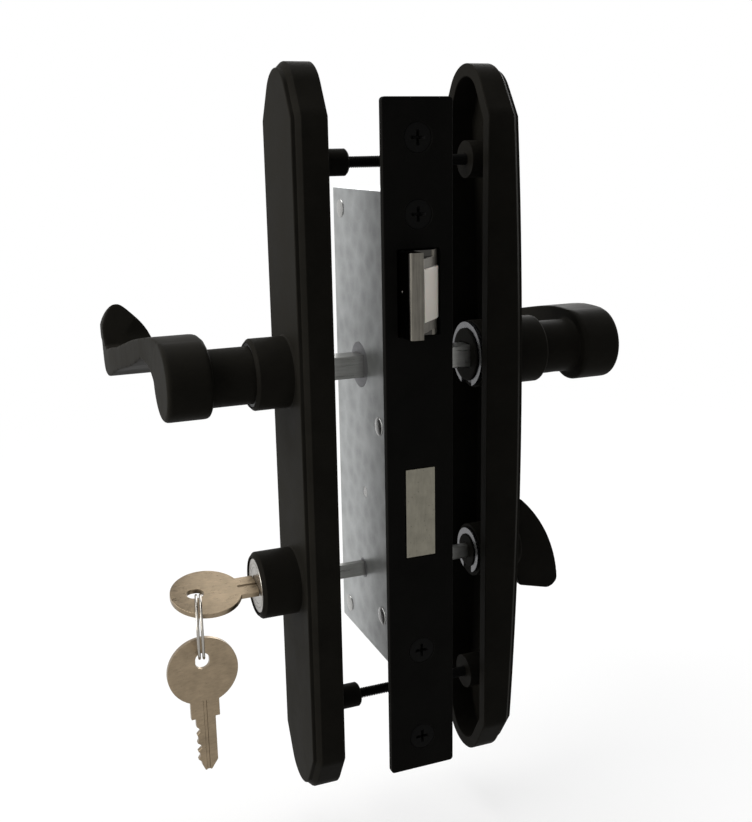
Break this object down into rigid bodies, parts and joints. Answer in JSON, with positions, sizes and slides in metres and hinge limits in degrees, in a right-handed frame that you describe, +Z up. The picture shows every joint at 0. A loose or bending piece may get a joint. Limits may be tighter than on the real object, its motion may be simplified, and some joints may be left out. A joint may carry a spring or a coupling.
{
  "type": "storm door mortise lock set",
  "caption": "Mortise latch and deadbolt in a flush case, with long plates, wave levers, a keyed cylinder with keys on a ring, and a thumb turn inside.",
  "frame": {"origin": "on the door's edge behind the faceplate, half way between the two screws into the door", "axes": "+X through the door to the inside, +Y from the door's edge into the door, +Z up"},
  "size_m": [0.1785, 0.1543, 0.26],
  "materials": {
    "black_paint": "satin black paint on cast zinc and steel",
    "black_screws": "black zinc, satin",
    "case_steel": "zinc-plated sheet",
    "latch_steel": "satin formed sheet",
    "cast_zinc": "die cast, matt",
    "bolt_steel": "satin plated",
    "spring_steel": "bright spring steel",
    "bar_steel": "zinc-plated bar",
    "nylon": "moulded, slightly glossy",
    "black_nylon": "moulded, matt",
    "cylinder_metal": "satin nickel plate",
    "wafer_brass": "stamped",
    "key_metal": "nickel silver, stamped and tumbled",
    "ring_steel": "nickel-plated spring wire"
  },
  "bodies": {
    "case_and_trim": {"faceplate": "black_paint", "faceplate_door_screws": "black_screws", "faceplate_case_screws": "black_screws", "mortise_case": "case_steel", "case_cover": "case_steel", "case_rivets": "case_steel", "bolt_guide_pin": "case_steel", "bolt_friction_leaf": "spring_steel", "latch_spring": "spring_steel", "outside_escutcheon": "black_paint", "inside_escutcheon": "black_paint", "escutcheon_bolts": "black_screws", "outside_lever_bush": "black_nylon", "inside_lever_bush": "black_nylon", "lock_cylinder": "cylinder_metal", "cylinder_nut": "cast_zinc", "outside_lever_collar": "black_paint", "cylinder_collar": "black_paint", "inside_lever_collar": "black_paint", "thumb_turn_boss": "black_paint"},
    "levers": {"outside_lever": "black_paint", "inside_lever": "black_paint", "lever_spindle": "bar_steel", "follower_hub": "cast_zinc", "outside_lever_ring": "spring_steel", "inside_lever_ring": "spring_steel", "lever_set_screw": "spring_steel"},
    "latch": {"latch_bolt": "cast_zinc", "latch_cap": "latch_steel", "latch_insert": "nylon"},
    "lock_drive": {"cylinder_plug": "cylinder_metal", "wafer_tumblers": "wafer_brass", "plug_clip": "spring_steel", "lock_bar": "bar_steel", "deadbolt_cam": "cast_zinc", "thumb_turn": "black_paint", "thumb_turn_clip": "spring_steel"},
    "bolt": {"deadbolt": "bolt_steel"},
    "key_in_lock": {"inserted_key": "key_metal"},
    "ring": {"key_ring": "ring_steel"},
    "hanging_key": {"spare_key": "key_metal"}
  },
  "joints": [
    {"name": "lever_turn", "type": "hinge", "parent": "case_and_trim", "child": "levers", "pos_m": [0, 0.02925, 0.02675], "axis": [-1, 0, 0], "range_deg": [0, 35], "stiffness_Nm_per_rad": 1, "springref_deg": -34.38},
    {"name": "latch_slide", "type": "slide", "parent": "case_and_trim", "child": "latch", "axis": [0, 1, 0], "range_m": [0, 0.01], "deforming": ["latch_spring"]},
    {"name": "lock_turn", "type": "hinge", "parent": "case_and_trim", "child": "lock_drive", "pos_m": [0, 0.02925, -0.04945], "axis": [1, 0, 0], "range_deg": [0, 90]},
    {"name": "deadbolt_slide", "type": "slide", "parent": "case_and_trim", "child": "bolt", "axis": [0, -1, 0], "range_m": [0, 0.013]},
    {"name": "key_withdraw", "type": "slide", "parent": "lock_drive", "child": "key_in_lock", "axis": [-1, 0, 0], "range_m": [0, 0.025]},
    {"name": "ring_swing", "type": "hinge", "parent": "key_in_lock", "child": "ring", "pos_m": [-0.07088, 0.02915, -0.04945], "axis": [-0.9799, 0.1994, 0], "range_deg": [0, 90]},
    {"name": "spare_key_swing", "type": "hinge", "parent": "ring", "child": "hanging_key", "pos_m": [-0.0719, 0.02411, -0.07094], "axis": [0.1994, 0.9799, 0], "range_deg": [-30, 30]}
  ],
  "couplings": [
    {"joint": "latch_slide", "follows": "lever_turn", "m_per_rad": 0.01636},
    {"joint": "lock_turn", "follows": "deadbolt_slide", "rad_per_m": 120.83}
  ]
}
